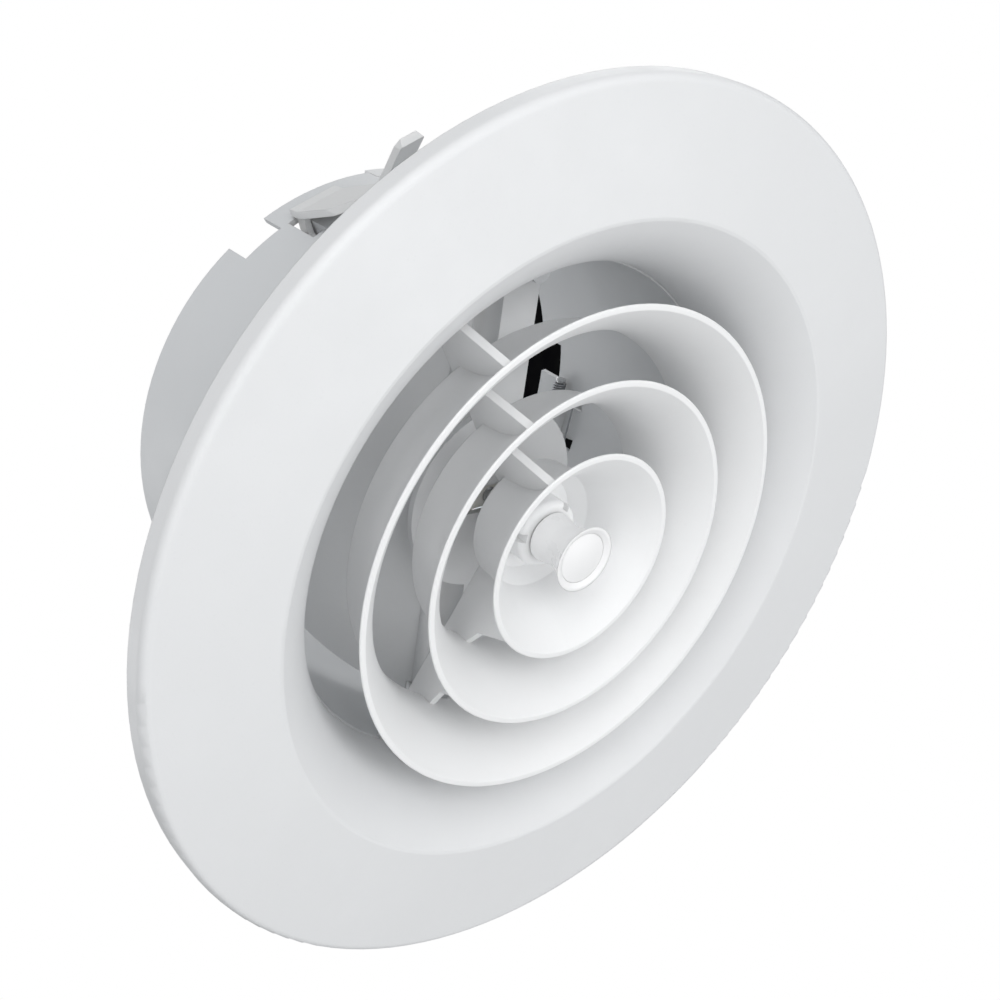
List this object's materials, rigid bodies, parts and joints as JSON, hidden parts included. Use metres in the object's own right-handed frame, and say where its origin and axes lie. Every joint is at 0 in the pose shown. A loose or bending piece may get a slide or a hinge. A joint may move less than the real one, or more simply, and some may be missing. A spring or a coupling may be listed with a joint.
{
  "type": "ceiling air diffuser",
  "caption": "Round ceiling air diffuser: wide flange, trumpet throat, concentric ring core with centre knob, tubular neck with butterfly damper flaps and sprung clamp arms.",
  "frame": {"origin": "centre of the flange's rear edge, in the plane of the ceiling", "axes": "+Z into the duct, so the visible face looks down along -Z; X along the damper's hinge rods"},
  "size_m": [0.331, 0.331, 0.1408],
  "materials": {
    "face_plastic": "satin white ABS",
    "core_plastic": "satin white ABS",
    "neck_plastic": "satin white ABS, slightly greyer",
    "knob_plastic": "smooth white ABS",
    "damper_plastic": "matt pale grey ABS",
    "clip_plastic": "satin white nylon",
    "acetal": "natural acetal",
    "foam": "closed-cell grey foam",
    "bush_brass": "turned brass",
    "turned_steel": "bright turned steel",
    "zinc_steel": "zinc-plated steel",
    "spring_steel": "hardened spring steel"
  },
  "bodies": {
    "frame": {"face_ring": "face_plastic", "ceiling_gasket": "foam", "neck_collar": "neck_plastic", "neck_screws": "zinc_steel", "core_grille": "core_plastic", "hub_bush": "bush_brass", "friction_washer": "turned_steel", "damper_bridge": "damper_plastic", "bridge_screws": "zinc_steel", "drive_yoke": "zinc_steel", "yoke_screws": "zinc_steel", "rear_bush": "bush_brass", "clamp_pin_1": "turned_steel", "clamp_pin_2": "turned_steel", "clamp_pin_3": "turned_steel", "clamp_spring_1": "spring_steel", "clamp_spring_2": "spring_steel", "clamp_spring_3": "spring_steel"},
    "knob": {"adjuster_knob": "knob_plastic", "knob_cap": "knob_plastic", "knob_screw": "zinc_steel", "spindle": "turned_steel", "spindle_circlip": "spring_steel"},
    "slider": {"rack_slider": "acetal"},
    "flap_left": {"damper_flap_left": "damper_plastic", "hinge_rod_left": "turned_steel", "pinion_left": "acetal"},
    "flap_right": {"damper_flap_right": "damper_plastic", "hinge_rod_right": "turned_steel", "pinion_right": "acetal"},
    "clamp_arm_1": {"clamp_arm_1": "clip_plastic"},
    "clamp_arm_2": {"clamp_arm_2": "clip_plastic"},
    "clamp_arm_3": {"clamp_arm_3": "clip_plastic"}
  },
  "joints": [
    {"name": "knob_turn", "type": "hinge", "parent": "frame", "child": "knob", "pos_m": [0, 0, 0], "axis": [0, 0, 1], "range_deg": [-369, 314]},
    {"name": "slider_travel", "type": "slide", "parent": "frame", "child": "slider", "axis": [0, 0, 1], "range_m": [-0.0035, 0.00411]},
    {"name": "flap_left_hinge", "type": "hinge", "parent": "frame", "child": "flap_left", "pos_m": [0, 0.0145, 0.053], "axis": [1, 0, 0], "range_deg": [-47, 40]},
    {"name": "flap_right_hinge", "type": "hinge", "parent": "frame", "child": "flap_right", "pos_m": [0, -0.0145, 0.053], "axis": [1, 0, 0], "range_deg": [-40, 47]},
    {"name": "clamp_arm_1_hinge", "type": "hinge", "parent": "frame", "child": "clamp_arm_1", "pos_m": [0.07336, 0.05568, 0.1103], "axis": [0.6046, -0.7965, 0], "range_deg": [-18, 0], "stiffness_Nm_per_rad": 0.05, "springref_deg": 20.05},
    {"name": "clamp_arm_2_hinge", "type": "hinge", "parent": "frame", "child": "clamp_arm_2", "pos_m": [-0.0849, 0.03569, 0.1103], "axis": [0.3875, 0.9219, 0], "range_deg": [-18, 0], "stiffness_Nm_per_rad": 0.05, "springref_deg": 20.05},
    {"name": "clamp_arm_3_hinge", "type": "hinge", "parent": "frame", "child": "clamp_arm_3", "pos_m": [0.01154, -0.09137, 0.1103], "axis": [-0.9921, -0.1253, 0], "range_deg": [-18, 0], "stiffness_Nm_per_rad": 0.05, "springref_deg": 20.05}
  ],
  "couplings": [
    {"joint": "slider_travel", "follows": "knob_turn", "m_per_rad": -0.00063662},
    {"joint": "flap_left_hinge", "follows": "knob_turn", "ratio": 0.12732},
    {"joint": "flap_right_hinge", "follows": "knob_turn", "ratio": -0.12732}
  ]
}
